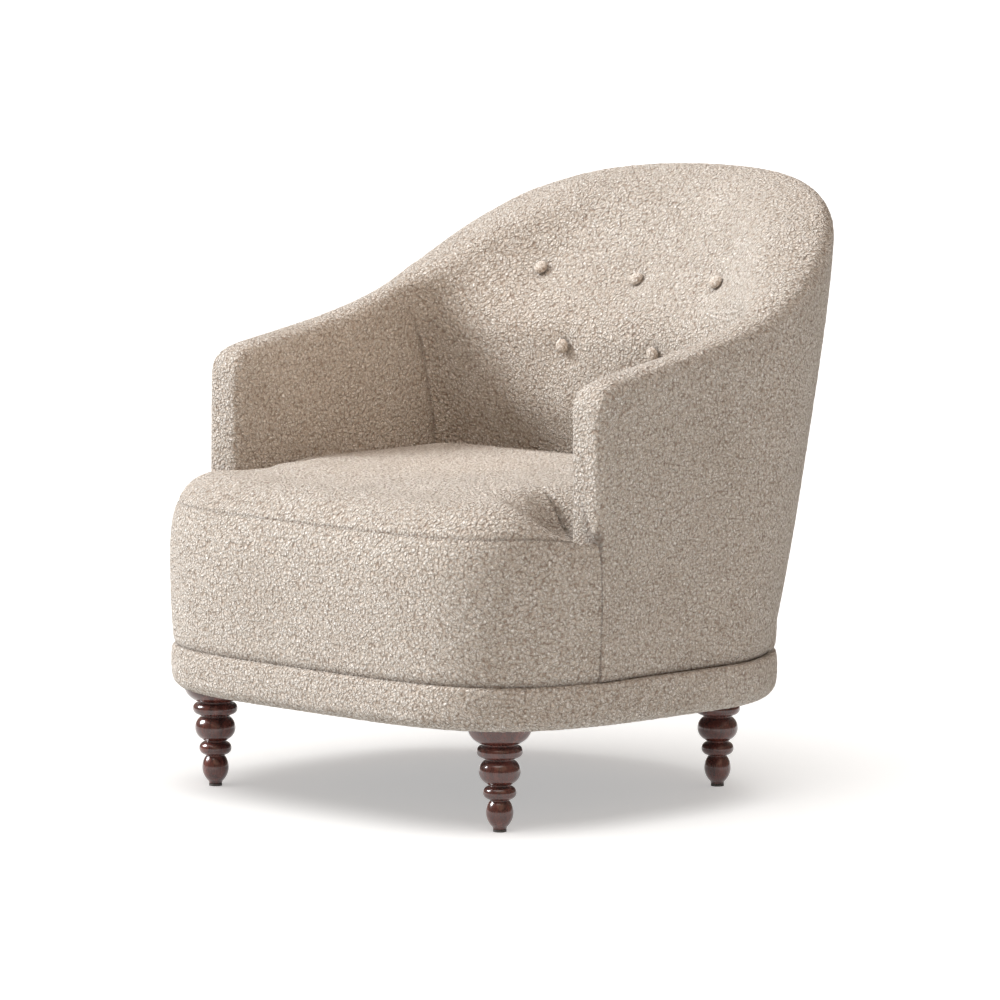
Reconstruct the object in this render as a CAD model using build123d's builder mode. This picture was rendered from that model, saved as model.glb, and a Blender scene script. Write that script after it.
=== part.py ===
"""Upholstered tub armchair with a buttoned, sloping back, a tight T-shaped seat and turned wooden legs.

Millimetres. +Z is up, the chair faces -Y, and the origin is on the floor under the middle of the chair.
"""

import os
from math import copysign, cos, pi, sin

from build123d import *

os.makedirs("parts", exist_ok=True)

# Heights above the floor.
GLIDE_TOP = 3.0
LEG_TOP = 142.0
BAND_BOTTOM = 138.5
BAND_TOP = 200.0
RAIL_TOP = 318.0
SEAT_SEAM = 395.0
SEAT_CROWN = 446.0
WALL_LIMIT = 870.0

# The plan of the base: a squarish front and half an ellipse behind, about one centre line.
BASE_CENTRE_Y = 12.0
HALF_WIDTH = 381.0
FRONT_REACH = 425.0
BACK_REACH = 285.0
FRONT_POWER = 4.1
OUTLINE_STEPS = 16

# The wall that makes the arms and the back.
WALL_HALF = 379.0
SEAT_HALF = 322.0
ARM_FRONT_Y = -235.0
FAR_FRONT_Y = -460.0
ARM_BACK_SEAM_Y = 130.0
LEAN = 0.31  # backward slide of the outside for each millimetre of height, at the bottom
LEAN_LOSS = 0.00019  # how fast that lean fades with height

# Layers, from the outside in.
FABRIC = 2.5
BAND_SWELL = 7.5
FRAME_IN = 16.0
FRAME_THICK = 16.0
RAIL_IN = 16.0
RAIL_THICK = 22.0
GAP = 0.4

# Legs.
LEG_FRONT = (277.0, -318.0)
LEG_BACK = (212.0, 169.0)
FLANGE_RADIUS = 44.0
BOLT_RADIUS = 4.0

# Buttons.
BUTTON_RADIUS = 9.8
BUTTON_THICK = 9.0
TWINE_RADIUS = 1.2

# Inside of the wall: height, where the back begins to turn, how deep it is behind that, half width.
INSIDE = [
    (BAND_TOP, 158.0, 44.0, SEAT_HALF),
    (430.0, 152.0, 48.0, SEAT_HALF),
    (500.0, 142.0, 38.0, SEAT_HALF),
    (590.0, 120.0, 48.0, SEAT_HALF),
    (690.0, 72.0, 156.0, SEAT_HALF),
    (760.0, 74.0, 216.0, 318.0),
    (WALL_LIMIT, 96.0, 300.0, 308.0),
]
OUTSIDE_HEIGHTS = [BAND_TOP, 330.0, 460.0, 600.0, 740.0, WALL_LIMIT]

# The top edge of the arms and back, seen from the side: distance behind the arm front, and height.
RIDGE = [
    (0, 568),
    (9, 587),
    (30, 597),
    (90, 608),
    (205, 629),
    (310, 657),
    (384, 692),
    (478, 752),
    (548, 792),
    (640, 832),
    (720, 838),
]


def slide(z):
    """How far the outside of the wall has leaned back at height z."""
    rise = z - BAND_TOP
    return 8.0 + LEAN * rise - LEAN_LOSS * rise * rise


def base_outline(z, grow):
    """The base plan at height z, grown by a margin."""
    half = HALF_WIDTH + grow
    power = 2.0 / FRONT_POWER
    front = [(-half, BASE_CENTRE_Y)]
    for step in range(1, OUTLINE_STEPS):
        angle = pi + pi * step / OUTLINE_STEPS
        across = copysign(abs(cos(angle)) ** power, cos(angle))
        along = abs(sin(angle)) ** power
        front.append((half * across, BASE_CENTRE_Y - (FRONT_REACH + grow) * along))
    front.append((half, BASE_CENTRE_Y))
    with BuildSketch(Plane.XY.offset(z)) as plan:
        with BuildLine():
            Spline(*front, tangents=[(0, -1), (0, 1)])
            EllipticalCenterArc((0, BASE_CENTRE_Y), half, BACK_REACH + grow, start_angle=0, arc_size=180)
        make_face()
    return plan.sketch


def tub_outline(z, half, turn_y, depth):
    """A plan at height z with straight sides that run far forward and half an ellipse behind."""
    with BuildSketch(Plane.XY.offset(z)) as plan:
        with BuildLine():
            Polyline((half, turn_y), (half, FAR_FRONT_Y), (-half, FAR_FRONT_Y), (-half, turn_y))
            EllipticalCenterArc((0, turn_y), half, depth, start_angle=0, arc_size=180)
        make_face()
    return plan.sketch


def outside_body(inset, mode=Mode.ADD):
    """Everything inside the outer face of the wall, less a margin."""
    depth = BACK_REACH - inset
    plans = [tub_outline(z, WALL_HALF - inset, BASE_CENTRE_Y + slide(z), depth) for z in OUTSIDE_HEIGHTS]
    loft(plans, ruled=True, mode=mode)


def inside_body(grow, mode=Mode.SUBTRACT):
    """The space between the arms and in front of the back, grown by a margin."""
    plans = [tub_outline(z, half + grow, turn_y, depth + grow) for z, turn_y, depth, half in INSIDE]
    loft(plans, ruled=True, mode=mode)


def under_ridge(drop, mode=Mode.INTERSECT):
    """Keeps or removes what lies below the top edge of the wall, lowered by a margin."""
    edge = [(ARM_FRONT_Y + y, z - drop) for y, z in RIDGE]
    first, last = edge[0], edge[-1]
    with BuildSketch(Plane.YZ) as side_view:
        with BuildLine():
            Spline(*edge)
            Polyline(last, (last[0], 0), (FAR_FRONT_Y, 0), (FAR_FRONT_Y, first[1]), first)
        make_face()
    extrude(side_view.sketch, amount=WALL_HALF * 2, both=True, mode=mode)


def keep_box(x, y, z, mode=Mode.INTERSECT):
    """A box between pairs of limits."""
    middle = [(low + high) / 2 for low, high in (x, y, z)]
    with Locations(tuple(middle)):
        Box(x[1] - x[0], y[1] - y[0], z[1] - z[0], mode=mode)


WIDE = (-500.0, 500.0)
TALL = (0.0, 1000.0)
LEFT = (-500.0, 0.0)
RIGHT = (0.0, 500.0)
ARM_SPAN = (FAR_FRONT_Y, ARM_BACK_SEAM_Y)
BACK_SPAN = (ARM_BACK_SEAM_Y, 500.0)


UP = (Align.CENTER, Align.CENTER, Align.MIN)
DOWN = (Align.CENTER, Align.CENTER, Align.MAX)


def save(builder, name):
    """Labels a finished piece and writes it."""
    builder.part.label = name
    export_step(builder.part, f"parts/{name}.step")


# ---------------------------------------------------------------- legs and their fixings


LEG_PLACES = {
    "front_left": (-LEG_FRONT[0], LEG_FRONT[1]),
    "front_right": LEG_FRONT,
    "back_left": (-LEG_BACK[0], LEG_BACK[1]),
    "back_right": LEG_BACK,
}
leg_points = [(x, y, 0) for x, y in LEG_PLACES.values()]

with BuildPart() as leg_pattern:
    with BuildSketch(Plane.XZ):
        with BuildLine():
            Polyline((0, GLIDE_TOP), (9.4, GLIDE_TOP), (9.4, 6.0))
            ThreePointArc((9.4, 6.0), (18.2, 28.5), (12.5, 43.0))
            Line((12.5, 43.0), (15.5, 43.0))
            ThreePointArc((15.5, 43.0), (22.4, 52.5), (15.5, 62.0))
            Line((15.5, 62.0), (17.0, 63.5))
            ThreePointArc((17.0, 63.5), (28.0, 80.5), (18.5, 97.5))
            Line((18.5, 97.5), (23.0, 98.5))
            ThreePointArc((23.0, 98.5), (31.0, 107.5), (24.0, 116.5))
            Polyline((24.0, 116.5), (24.0, 118.5), (28.0, 118.5))
            ThreePointArc((28.0, 118.5), (38.5, 127.5), (FLANGE_RADIUS, LEG_TOP))
            Polyline((FLANGE_RADIUS, LEG_TOP), (0, LEG_TOP), (0, GLIDE_TOP))
        make_face()
    revolve(axis=Axis.Z)
    with Locations((0, 0, LEG_TOP)):
        Hole(BOLT_RADIUS, depth=42)

for corner, (x, y) in LEG_PLACES.items():
    with BuildPart() as leg:
        with Locations((x, y, 0)):
            add(leg_pattern.part)
    save(leg, f"{corner}_leg")

with BuildPart() as leg_glides:
    with Locations(leg_points):
        Cylinder(9.0, GLIDE_TOP, align=UP)
save(leg_glides, "leg_glides")

PLATE_RADIUS = 20.0
PLATE_THICK = 2.5
SCREW_CIRCLE = 13.0
SCREW_RADIUS = 2.0
SCREW_LENGTH = 18.0
plate_points = [(x, y, LEG_TOP) for x, y in LEG_PLACES.values()]


def plate_screw_shape(mode=Mode.ADD):
    """Four screws up through each leg plate."""
    with Locations(plate_points):
        with PolarLocations(SCREW_CIRCLE, 4):
            Cylinder(SCREW_RADIUS, SCREW_LENGTH, align=UP, mode=mode)


def hanger_bolt_shape(mode=Mode.ADD):
    """A double-ended bolt that joins each leg to its block."""
    with Locations([(x, y, LEG_TOP - 42) for x, y in LEG_PLACES.values()]):
        Cylinder(BOLT_RADIUS, 84, align=UP, mode=mode)


with BuildPart() as hanger_bolts:
    hanger_bolt_shape()
save(hanger_bolts, "hanger_bolts")

with BuildPart() as plate_screws:
    plate_screw_shape()
save(plate_screws, "plate_screws")

with BuildPart() as leg_plates:
    with Locations(plate_points):
        Cylinder(PLATE_RADIUS, PLATE_THICK, align=UP)
    plate_screw_shape(Mode.SUBTRACT)
    hanger_bolt_shape(Mode.SUBTRACT)
save(leg_plates, "leg_plates")

# ---------------------------------------------------------------- base frame

with BuildPart() as rail_ring:
    extrude(base_outline(LEG_TOP, -RAIL_IN), amount=RAIL_TOP - LEG_TOP)
    extrude(base_outline(LEG_TOP, -RAIL_IN - RAIL_THICK), amount=RAIL_TOP - LEG_TOP, mode=Mode.SUBTRACT)

FRONT_JOINT_Y = -250.0
BACK_JOINT_Y = 100.0
rail_regions = {
    "front_seat_rail": (WIDE, (-500.0, FRONT_JOINT_Y)),
    "left_seat_rail": (LEFT, (FRONT_JOINT_Y, BACK_JOINT_Y)),
    "right_seat_rail": (RIGHT, (FRONT_JOINT_Y, BACK_JOINT_Y)),
    "back_seat_rail": (WIDE, (BACK_JOINT_Y, 500.0)),
}
for name, (x_span, y_span) in rail_regions.items():
    with BuildPart() as rail:
        add(rail_ring.part)
        keep_box(x_span, y_span, TALL)
    save(rail, name)

BLOCK_SIDE = 124.0
with BuildPart() as leg_blocks:
    with Locations(plate_points):
        Box(BLOCK_SIDE, BLOCK_SIDE, BAND_TOP - LEG_TOP, align=UP)
    extrude(base_outline(LEG_TOP, -RAIL_IN - RAIL_THICK), amount=BAND_TOP - LEG_TOP, mode=Mode.INTERSECT)
    with Locations(plate_points):
        Cylinder(PLATE_RADIUS, PLATE_THICK, align=UP, mode=Mode.SUBTRACT)
    plate_screw_shape(Mode.SUBTRACT)
    hanger_bolt_shape(Mode.SUBTRACT)
save(leg_blocks, "leg_blocks")

DUST_SHEET = 1.5
with BuildPart() as dust_cover:
    extrude(base_outline(LEG_TOP - DUST_SHEET, -RAIL_IN - 4), amount=DUST_SHEET)
    with Locations([(x, y, LEG_TOP) for x, y in LEG_PLACES.values()]):
        Cylinder(FLANGE_RADIUS + 1, DUST_SHEET * 4, mode=Mode.SUBTRACT)
save(dust_cover, "dust_cover")

# ---------------------------------------------------------------- seat springs

SPRING_XS = [-200.0, -100.0, 0.0, 100.0, 200.0]
WIRE_RADIUS = 1.8
SPRING_RUN = 44.0
SPRING_PITCH = 24.0
CLIP_SIZE = (14.0, 16.0, 5.0)
spring_z = RAIL_TOP + WIRE_RADIUS + 0.8
rail_middle = -RAIL_IN - RAIL_THICK / 2


def spring_ends(x):
    """Where the wires at x cross the middle of the front rail and of the back rail."""
    part = abs(x) / (HALF_WIDTH + rail_middle)
    front = BASE_CENTRE_Y - (FRONT_REACH + rail_middle) * (1 - part**FRONT_POWER) ** (1 / FRONT_POWER)
    back = BASE_CENTRE_Y + (BACK_REACH + rail_middle) * (1 - part**2) ** 0.5
    return front, back


def spring_path(x):
    """Corners of a zigzag wire from the front rail to the back rail."""
    front, back = spring_ends(x)
    bends = round((back - front) / SPRING_PITCH)
    pitch = (back - front) / bends
    half = SPRING_RUN / 2
    points = []
    for bend in range(bends + 1):
        y = front + bend * pitch
        side = -1 if bend % 2 == 0 else 1
        points.append((x + side * half, y, spring_z))
        points.append((x - side * half, y, spring_z))
    return points


for index, x in enumerate(SPRING_XS, start=1):
    with BuildPart() as spring:
        with BuildLine() as wire:
            FilletPolyline(*spring_path(x), radius=SPRING_PITCH / 2 - 1)
        with BuildSketch(Plane(origin=wire.line @ 0, z_dir=wire.line % 0)):
            Circle(WIRE_RADIUS)
        sweep()
    save(spring, f"seat_spring_{index}")

clip_points = [(x, y, RAIL_TOP) for x in SPRING_XS for y in spring_ends(x)]
with BuildPart() as spring_clips:
    with Locations(clip_points):
        Box(*CLIP_SIZE, align=UP)
    with Locations([(x, y, spring_z) for x, y, z in clip_points]):
        Cylinder(WIRE_RADIUS + 0.05, CLIP_SIZE[0] * 2, rotation=(0, 90, 0), mode=Mode.SUBTRACT)
save(spring_clips, "spring_clips")

# ---------------------------------------------------------------- frame of the arms and back

POST_DEPTH = 45.0
TOP_RAIL_HEIGHT = 40.0
BACK_POST_Y = (105.0, 150.0)
UPRIGHT_X = (130.0, 170.0)
UPRIGHT_FOOT = 262.0
LOWER_RAIL_Z = (350.0, 385.0)
STRAP_BOTTOMS = [410.0, 480.0, 550.0, 620.0, 690.0]
STRAP_WIDTH = 48.0
STRAP_THICK = 2.0
frame_back = FRAME_IN + FRAME_THICK
ABOVE_RAIL = (RAIL_TOP, 1000.0)
ARM_POST_Y = (ARM_FRONT_Y + 8, ARM_FRONT_Y + 8 + POST_DEPTH)

with BuildPart() as frame_ring:
    outside_body(FRAME_IN)
    outside_body(frame_back, Mode.SUBTRACT)
    under_ridge(FRAME_IN)
    keep_box(WIDE, (ARM_POST_Y[0], 500.0), TALL)

with BuildPart() as top_rail:
    add(frame_ring.part)
    under_ridge(FRAME_IN + TOP_RAIL_HEIGHT, Mode.SUBTRACT)

with BuildPart() as below_top_rail:
    add(frame_ring.part)
    under_ridge(FRAME_IN + TOP_RAIL_HEIGHT)

top_rail_regions = {
    "left_arm_rail": (LEFT, (FAR_FRONT_Y, BACK_POST_Y[1])),
    "right_arm_rail": (RIGHT, (FAR_FRONT_Y, BACK_POST_Y[1])),
    "back_top_rail": (WIDE, (BACK_POST_Y[1], 500.0)),
}
for name, (x_span, y_span) in top_rail_regions.items():
    with BuildPart() as rail:
        add(top_rail.part)
        keep_box(x_span, y_span, TALL)
    save(rail, name)

post_regions = {
    "left_arm_post": (LEFT, ARM_POST_Y),
    "right_arm_post": (RIGHT, ARM_POST_Y),
    "left_back_post": (LEFT, BACK_POST_Y),
    "right_back_post": (RIGHT, BACK_POST_Y),
}
posts = {"left": [], "right": []}
for name, (x_span, y_span) in post_regions.items():
    with BuildPart() as post:
        add(below_top_rail.part)
        keep_box(x_span, y_span, ABOVE_RAIL)
    posts[name.split("_")[0]].append(post.part)
    save(post, name)

with BuildPart() as back_uprights:
    add(below_top_rail.part)
    keep_box((-UPRIGHT_X[1], UPRIGHT_X[1]), BACK_SPAN, (UPRIGHT_FOOT, 1000.0))
    keep_box((-UPRIGHT_X[0], UPRIGHT_X[0]), BACK_SPAN, TALL, Mode.SUBTRACT)
    add(rail_ring.part, mode=Mode.SUBTRACT)
save(back_uprights, "back_uprights")

with BuildPart() as back_lower_rail:
    add(below_top_rail.part)
    keep_box(WIDE, (BACK_POST_Y[1], 500.0), LOWER_RAIL_Z)
    add(back_uprights.part, mode=Mode.SUBTRACT)
save(back_lower_rail, "back_lower_rail")

with BuildPart() as back_webbing:
    outside_body(frame_back + GAP)
    outside_body(frame_back + GAP + STRAP_THICK, Mode.SUBTRACT)
    under_ridge(FRAME_IN + TOP_RAIL_HEIGHT / 2)
    with Locations([(0, 400, z) for z in STRAP_BOTTOMS]):
        Box(WIDE[1] * 2, 480, STRAP_WIDTH, align=UP, mode=Mode.INTERSECT)
save(back_webbing, "back_webbing")

# ---------------------------------------------------------------- base band

BAND_SOFT_TOP = 8.0
BAND_SOFT_BOTTOM = 20.0


def band_body(inset, mode=Mode.ADD):
    """The rounded roll round the base, filled to its middle, less a margin."""
    plan = base_outline(BAND_BOTTOM + inset, BAND_SWELL - inset)
    with BuildPart(mode=Mode.PRIVATE) as roll:
        extrude(plan, amount=BAND_TOP - BAND_BOTTOM - 2 * inset)
        fillet(roll.faces().sort_by(Axis.Z)[-1].edges(), BAND_SOFT_TOP - inset)
        fillet(roll.faces().sort_by(Axis.Z)[0].edges(), BAND_SOFT_BOTTOM - inset)
    add(roll.part, mode=mode)


def clear_band():
    """Opens the middle of the band for the rails, and its edge for the tops of the legs."""
    extrude(base_outline(BAND_BOTTOM, -RAIL_IN), amount=BAND_TOP - BAND_BOTTOM, mode=Mode.SUBTRACT)
    with Locations([(x, y, LEG_TOP) for x, y in LEG_PLACES.values()]):
        Cylinder(FLANGE_RADIUS + 1, LEG_TOP - BAND_BOTTOM, align=DOWN, mode=Mode.SUBTRACT)


with BuildPart() as band_core:
    band_body(FABRIC)
    clear_band()

with BuildPart() as band_cover:
    band_body(0)
    band_body(FABRIC, Mode.SUBTRACT)
    clear_band()
save(band_cover, "band_cover")

for side, (x_span, y_span) in rail_regions.items():
    with BuildPart() as padding:
        add(band_core.part)
        keep_box(x_span, y_span, TALL)
    save(padding, side.replace("seat_rail", "band_padding"))

# ---------------------------------------------------------------- padding and covers of the arms and back

BACK_FOAM_BOTTOM = 345.0
COVER_JOIN_IN = 14.0


def wall_body(inset, mode=Mode.ADD):
    """The whole wall of arms and back, less a margin on every face that shows."""
    with BuildPart(mode=Mode.PRIVATE) as wall:
        outside_body(inset)
        inside_body(inset)
        under_ridge(inset)
        keep_box(WIDE, (ARM_FRONT_Y + inset, 500.0), TALL)
    add(wall.part, mode=mode)


with BuildPart() as wall_core:
    wall_body(FABRIC)

with BuildPart() as wall_skin:
    wall_body(0)
    add(wall_core.part, mode=Mode.SUBTRACT)

for side, x_span in (("left", LEFT), ("right", RIGHT)):
    with BuildPart() as arm_padding:
        add(wall_core.part)
        keep_box(x_span, ARM_SPAN, (BAND_TOP + GAP, 1000.0))
        add(rail_ring.part, mode=Mode.SUBTRACT)
        add(top_rail.part, mode=Mode.SUBTRACT)
        for member in posts[side]:
            add(member, mode=Mode.SUBTRACT)
    save(arm_padding, f"{side}_arm_padding")
    with BuildPart() as arm_cover:
        add(wall_skin.part)
        keep_box(x_span, ARM_SPAN, (BAND_TOP + GAP, 1000.0))
        add(rail_ring.part, mode=Mode.SUBTRACT)
    save(arm_cover, f"{side}_arm_cover")

BUTTONS = {
    "button_top_left": (-168.0, 692.0),
    "button_top_middle": (0.0, 685.0),
    "button_top_right": (168.0, 692.0),
    "button_bottom_left": (-87.0, 587.0),
    "button_bottom_right": (87.0, 587.0),
}
DIMPLE_RADIUS = 13.0
DIMPLE_REACH = 40.0
BUTTON_SINK = 7.0
TWINE_LENGTH = 80.0
TOGGLE_RADIUS = 9.0
TOGGLE_THICK = 3.0


def inside_face(x, z):
    """How far back the inside of the back is at a place on it."""
    for (z0, turn0, depth0, half0), (z1, turn1, depth1, half1) in zip(INSIDE, INSIDE[1:]):
        if z0 <= z <= z1:
            part = (z - z0) / (z1 - z0)
            turn = turn0 + part * (turn1 - turn0)
            depth = depth0 + part * (depth1 - depth0)
            half = half0 + part * (half1 - half0)
            return turn + depth * (1 - (x / half) ** 2) ** 0.5
    raise ValueError("outside the height of the wall")


def button_plane(x, z):
    """Plane at the bottom of a button's dimple, facing the sitter."""
    step = 5.0
    across = (inside_face(x + step, z) - inside_face(x - step, z)) / (2 * step)
    upward = (inside_face(x, z + step) - inside_face(x, z - step)) / (2 * step)
    facing = Vector(across, -1, upward).normalized()
    return Plane(origin=Vector(x, inside_face(x, z), z) - facing * BUTTON_SINK, z_dir=facing)


button_planes = {name: button_plane(x, z) for name, (x, z) in BUTTONS.items()}


def button_hollows():
    """Cuts the dimples, the twines and the toggles out of the back's padding."""
    with Locations(*button_planes.values()):
        Cylinder(DIMPLE_RADIUS, DIMPLE_REACH, align=UP, mode=Mode.SUBTRACT)
        Cylinder(TWINE_RADIUS, TWINE_LENGTH, align=DOWN, mode=Mode.SUBTRACT)
    with Locations(*[plane.offset(-TWINE_LENGTH) for plane in button_planes.values()]):
        Cylinder(TOGGLE_RADIUS, TOGGLE_THICK, align=DOWN, mode=Mode.SUBTRACT)


for name, plane in button_planes.items():
    with BuildPart() as button:
        with Locations(plane):
            Cylinder(BUTTON_RADIUS, BUTTON_THICK, align=UP)
        fillet(button.faces().sort_by(Axis((0, 0, 0), plane.z_dir))[-1].edges(), BUTTON_THICK * 0.4)
    save(button, name)

with BuildPart() as button_twines:
    with Locations(*button_planes.values()):
        Cylinder(TWINE_RADIUS, TWINE_LENGTH, align=DOWN)
save(button_twines, "button_twines")

with BuildPart() as twine_toggles:
    with Locations(*[plane.offset(-TWINE_LENGTH) for plane in button_planes.values()]):
        Cylinder(TOGGLE_RADIUS, TOGGLE_THICK, align=DOWN)
save(twine_toggles, "twine_toggles")

with BuildPart() as back_foam:
    outside_body(frame_back + STRAP_THICK + 2 * GAP)
    add(wall_core.part, mode=Mode.INTERSECT)
    keep_box(WIDE, BACK_SPAN, (BACK_FOAM_BOTTOM, 1000.0))
    button_hollows()
save(back_foam, "back_foam")

with BuildPart() as back_wadding:
    add(wall_core.part)
    outside_body(FRAME_IN, Mode.SUBTRACT)
    keep_box(WIDE, BACK_SPAN, (BAND_TOP + GAP, 1000.0))
    add(rail_ring.part, mode=Mode.SUBTRACT)
save(back_wadding, "back_wadding")

with BuildPart() as back_edge_roll:
    outside_body(FRAME_IN)
    add(wall_core.part, mode=Mode.INTERSECT)
    outside_body(frame_back + STRAP_THICK + 2 * GAP, Mode.SUBTRACT)
    under_ridge(FRAME_IN, Mode.SUBTRACT)
    keep_box(WIDE, BACK_SPAN, TALL)
save(back_edge_roll, "back_edge_roll")

with BuildPart() as inside_back_cover:
    outside_body(COVER_JOIN_IN)
    add(wall_skin.part, mode=Mode.INTERSECT)
    keep_box(WIDE, BACK_SPAN, (BACK_FOAM_BOTTOM, 1000.0))
    with Locations(*button_planes.values()):
        Cylinder(DIMPLE_RADIUS, DIMPLE_REACH, align=UP, mode=Mode.SUBTRACT)
save(inside_back_cover, "inside_back_cover")

with BuildPart() as outside_back_cover:
    add(wall_skin.part)
    outside_body(COVER_JOIN_IN, Mode.SUBTRACT)
    keep_box(WIDE, BACK_SPAN, (BAND_TOP + GAP, 1000.0))
    add(rail_ring.part, mode=Mode.SUBTRACT)
save(outside_back_cover, "outside_back_cover")

# ---------------------------------------------------------------- seat

SEAT_SWELL = 4.0
SEAT_SOFT_EDGE = 58.0
DECK_Z = 328.0
DECK_THICK = 2.5

with BuildPart() as seat_space:
    plans = [tub_outline(z, half - GAP, turn_y, depth - GAP) for z, turn_y, depth, half in INSIDE[:3]]
    loft(plans, ruled=True)
    keep_box(WIDE, (-600.0, 500.0), (BAND_TOP, SEAT_CROWN + 20))
    with Locations((0, ARM_FRONT_Y - GAP, BAND_TOP)):
        Box(1000, 400, 300, align=(Align.CENTER, Align.MAX, Align.MIN))


def seat_body(inset, mode=Mode.ADD):
    """The tight seat with its rounded front edge, less a margin."""
    with BuildPart(mode=Mode.PRIVATE) as block:
        extrude(base_outline(BAND_TOP, SEAT_SWELL - inset), amount=SEAT_CROWN - inset - BAND_TOP)
        fillet(block.faces().sort_by(Axis.Z)[-1].edges(), SEAT_SOFT_EDGE - inset)
    add(block.part, mode=mode)


with BuildPart() as seat_core:
    seat_body(FABRIC)
    add(seat_space.part, mode=Mode.INTERSECT)

with BuildPart() as seat_skin:
    seat_body(0)
    add(seat_space.part, mode=Mode.INTERSECT)
    seat_body(FABRIC, Mode.SUBTRACT)

with BuildPart() as seat_top_cover:
    add(seat_skin.part)
    keep_box(WIDE, (-600.0, 500.0), (SEAT_SEAM, 1000.0))
save(seat_top_cover, "seat_top_cover")

with BuildPart() as seat_border_cover:
    add(seat_skin.part)
    keep_box(WIDE, (-600.0, ARM_FRONT_Y), (BAND_TOP + GAP, SEAT_SEAM))
save(seat_border_cover, "seat_border_cover")

with BuildPart() as seat_foam:
    add(seat_core.part)
    keep_box(WIDE, (-600.0, 500.0), (DECK_Z + DECK_THICK, 1000.0))
save(seat_foam, "seat_foam")

with BuildPart() as seat_border_padding:
    add(seat_core.part)
    keep_box(WIDE, (-600.0, ARM_FRONT_Y - 2 * GAP), (BAND_TOP + GAP, DECK_Z))
    extrude(base_outline(BAND_TOP, -RAIL_IN), amount=DECK_Z - BAND_TOP, mode=Mode.SUBTRACT)
save(seat_border_padding, "seat_border_padding")

with BuildPart() as spring_cloth:
    add(seat_core.part)
    keep_box(WIDE, (-600.0, 500.0), (DECK_Z, DECK_Z + DECK_THICK))
    extrude(base_outline(DECK_Z, -RAIL_IN), amount=DECK_THICK, mode=Mode.INTERSECT)
save(spring_cloth, "spring_cloth")
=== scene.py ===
"""Looks of the button-back upholstered armchair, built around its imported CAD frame.

The bouclé upholstery is a wall that runs round both arms and the back, a T-shaped seat, a padded band
under them and five covered buttons. The four legs are turned wood. The parts inside stay CAD parts.
Lengths in the shape code are millimetres in the frame's own axes, and become metres in add_mesh().
"""

import math

import bmesh
import bpy
import numpy as np
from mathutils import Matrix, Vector


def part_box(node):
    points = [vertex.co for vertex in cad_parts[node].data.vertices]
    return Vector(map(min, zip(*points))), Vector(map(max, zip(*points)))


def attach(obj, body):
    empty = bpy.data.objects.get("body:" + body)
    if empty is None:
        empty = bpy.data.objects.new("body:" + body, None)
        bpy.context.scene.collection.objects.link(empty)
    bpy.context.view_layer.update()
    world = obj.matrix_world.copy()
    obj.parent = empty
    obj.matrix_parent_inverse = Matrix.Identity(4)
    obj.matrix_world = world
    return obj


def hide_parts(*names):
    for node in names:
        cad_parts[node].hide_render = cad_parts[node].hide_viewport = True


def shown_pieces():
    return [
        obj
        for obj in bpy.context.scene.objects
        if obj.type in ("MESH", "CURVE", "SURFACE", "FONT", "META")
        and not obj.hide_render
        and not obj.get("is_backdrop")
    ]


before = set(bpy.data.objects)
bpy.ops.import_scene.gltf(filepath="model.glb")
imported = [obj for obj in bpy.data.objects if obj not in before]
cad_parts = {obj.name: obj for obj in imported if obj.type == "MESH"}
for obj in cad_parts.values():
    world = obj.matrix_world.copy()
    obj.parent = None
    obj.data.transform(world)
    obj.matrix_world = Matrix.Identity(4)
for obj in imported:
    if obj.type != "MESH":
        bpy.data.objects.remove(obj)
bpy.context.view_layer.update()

MM = 0.001
QUARTER = math.pi / 2


def box_mm(node):
    """Lowest and highest corner of a CAD node, in millimetres."""
    low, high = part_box(node)
    return np.array(low) / MM, np.array(high) / MM


# ---------------------------------------------------------------- sizes, from the frame
BAND_LOW, BAND_HIGH = box_mm("band_cover")
ARM_LOW, ARM_HIGH = box_mm("right_arm_cover")
BAND_BOTTOM = BAND_LOW[2]
SEAM_Z = BAND_HIGH[2]
WALL_HALF = ARM_HIGH[0]
ARM_FRONT = ARM_LOW[1]
SEAT_CROWN = box_mm("seat_top_cover")[1][2]
SEAT_SEAM_Z = box_mm("seat_border_cover")[1][2]

# Plan of the base: a superellipse in front and a flatter arc behind, which meet at CENTRE_Y.
CENTRE_Y = 12.0
BAND_SWELL = 7.5
BASE_HALF = BAND_HIGH[0] - BAND_SWELL
FRONT_REACH = 425.0
BACK_REACH = 285.0
FRONT_POWER = 4.1


# ---------------------------------------------------------------- small maths helpers
def smooth_step(value):
    """0 below 0, 1 above 1, and an S-curve between."""
    value = np.clip(value, 0.0, 1.0)
    return value * value * (3.0 - 2.0 * value)


def signed_power(value, power):
    """The size of the value raised to the power, with the value's own sign."""
    return np.sign(value) * np.abs(value) ** power


def bell(distance, width, power=2):
    """1 at distance 0, falling to almost 0 past the width. A higher power makes a flatter top."""
    return np.exp(-(np.abs(distance / width) ** power))


def flowing(value, knots, heights):
    """A smooth curve through the knots that never overshoots between them."""
    knots = np.asarray(knots, float)
    heights = np.asarray(heights, float)
    steps = np.diff(knots)
    slopes = np.diff(heights) / steps
    tangents = np.zeros(len(knots))
    tangents[0] = slopes[0]
    tangents[-1] = slopes[-1]
    for i in range(1, len(knots) - 1):
        if slopes[i - 1] * slopes[i] > 0:
            tangents[i] = 2.0 * slopes[i - 1] * slopes[i] / (slopes[i - 1] + slopes[i])
    value = np.clip(np.asarray(value, float), knots[0], knots[-1])
    at = np.clip(np.searchsorted(knots, value, side="right") - 1, 0, len(steps) - 1)
    t = (value - knots[at]) / steps[at]
    return (
        heights[at] * (1 + 2 * t) * (1 - t) ** 2
        + tangents[at] * steps[at] * t * (1 - t) ** 2
        + heights[at + 1] * t * t * (3 - 2 * t)
        - tangents[at + 1] * steps[at] * t * t * (1 - t)
    )


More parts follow.
